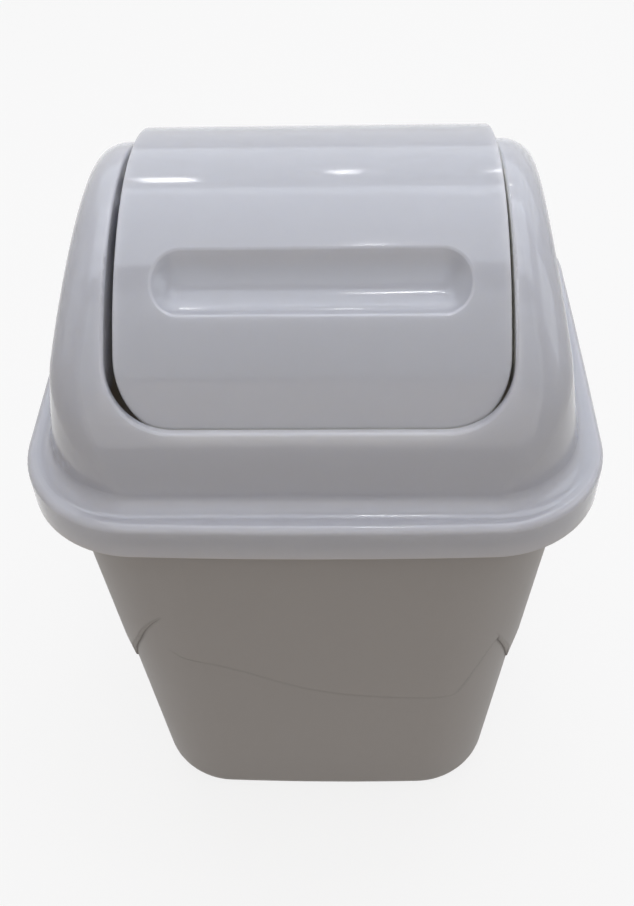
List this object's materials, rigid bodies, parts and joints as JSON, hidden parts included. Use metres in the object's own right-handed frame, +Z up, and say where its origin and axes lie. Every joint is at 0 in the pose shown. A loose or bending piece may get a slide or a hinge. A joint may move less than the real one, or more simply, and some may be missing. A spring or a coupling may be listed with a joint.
{
  "type": "swing-lid countertop trash can",
  "caption": "Small plastic countertop trash can: tapered bucket, arched lift-off hood and a swinging push flap with a scooped recess.",
  "frame": {"origin": "centre of the foot, on the surface the bin stands on", "axes": "+Z up, front (push recess) towards -Y, +X to the viewer's right from the front"},
  "size_m": [0.201, 0.184, 0.2952],
  "materials": {
    "lid_plastic": "gloss",
    "body_plastic": "satin"
  },
  "bodies": {
    "bin": {"bin_body": "body_plastic"},
    "hood": {"lid_hood": "lid_plastic"},
    "flap": {"swing_flap": "lid_plastic"}
  },
  "joints": [
    {"name": "hood_lift", "type": "slide", "parent": "bin", "child": "hood", "axis": [0, 0, 1], "range_m": [0, 0.04]},
    {"name": "flap_swing", "type": "hinge", "parent": "hood", "child": "flap", "pos_m": [0, 0, 0.2826], "axis": [1, 0, 0], "range_deg": [0, 80]}
  ]
}
